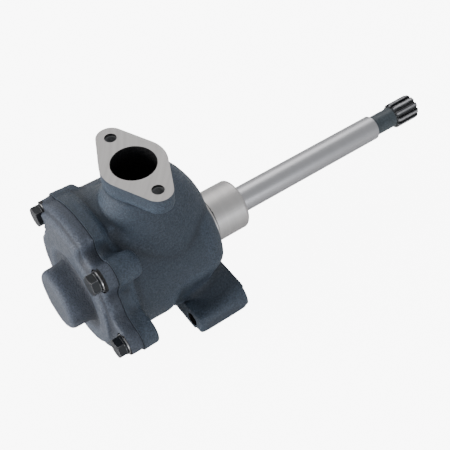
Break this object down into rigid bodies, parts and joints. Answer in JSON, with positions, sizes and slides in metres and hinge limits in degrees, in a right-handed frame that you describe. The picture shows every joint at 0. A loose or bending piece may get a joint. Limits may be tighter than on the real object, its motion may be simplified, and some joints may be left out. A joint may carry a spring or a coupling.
{
  "type": "engine oil pump",
  "caption": "Rotor-type engine oil pump: cast body with inlet riser, eared end cover, pilot collar, mounting bar and a long splined drive shaft",
  "frame": {"origin": "on the drive axis, in the face of the shoulder at the root of the pilot collar", "axes": "+X along the drive axis towards the splined end, +Z along the normal of the inlet flange, +Y to the side away from the camera of the picture"},
  "size_m": [0.332, 0.1302, 0.151],
  "materials": {
    "body_casting": "as-cast, sealed, satin",
    "cover_casting": "as-cast, sealed, satin",
    "gasket": "matt fibre sheet",
    "black_steel": "black oxide",
    "bright_steel": "bright zinc",
    "ground_steel": "ground",
    "sintered_steel": "sintered, satin",
    "spring_steel": "oiled",
    "bronze": "machined",
    "copper": "flat annealed",
    "seal_rubber": "smooth"
  },
  "bodies": {
    "housing": {"pump_body": "body_casting", "end_cover": "cover_casting", "cover_gasket": "gasket", "cover_screws": "black_steel", "cover_spring_washers": "black_steel", "cover_plain_washers": "bright_steel", "cover_dowels": "bright_steel", "collar_bush": "bronze", "body_bush": "bronze", "cover_bush": "bronze", "relief_plug": "bright_steel", "relief_plug_washer": "copper", "gallery_plug": "bright_steel", "outlet_seal_ring": "seal_rubber"},
    "drive": {"drive_shaft": "ground_steel", "inner_rotor": "sintered_steel", "rotor_key": "bright_steel", "rotor_circlips": "black_steel"},
    "ring": {"outer_rotor": "sintered_steel"},
    "valve": {"relief_plunger": "ground_steel", "relief_spring": "spring_steel"}
  },
  "joints": [
    {"name": "drive_turn", "type": "hinge", "parent": "housing", "child": "drive", "pos_m": [0, 0, 0], "axis": [1, 0, 0], "continuous": true},
    {"name": "ring_turn", "type": "hinge", "parent": "housing", "child": "ring", "pos_m": [0, -0.005, 0], "axis": [1, 0, 0], "continuous": true},
    {"name": "relief_lift", "type": "slide", "parent": "housing", "child": "valve", "axis": [0, 1, 0], "range_m": [0, 0.006], "stiffness_N_per_m": 300, "springref_m": -0.01, "deforming": ["relief_spring"]}
  ],
  "couplings": [
    {"joint": "ring_turn", "follows": "drive_turn", "ratio": 0.8}
  ]
}
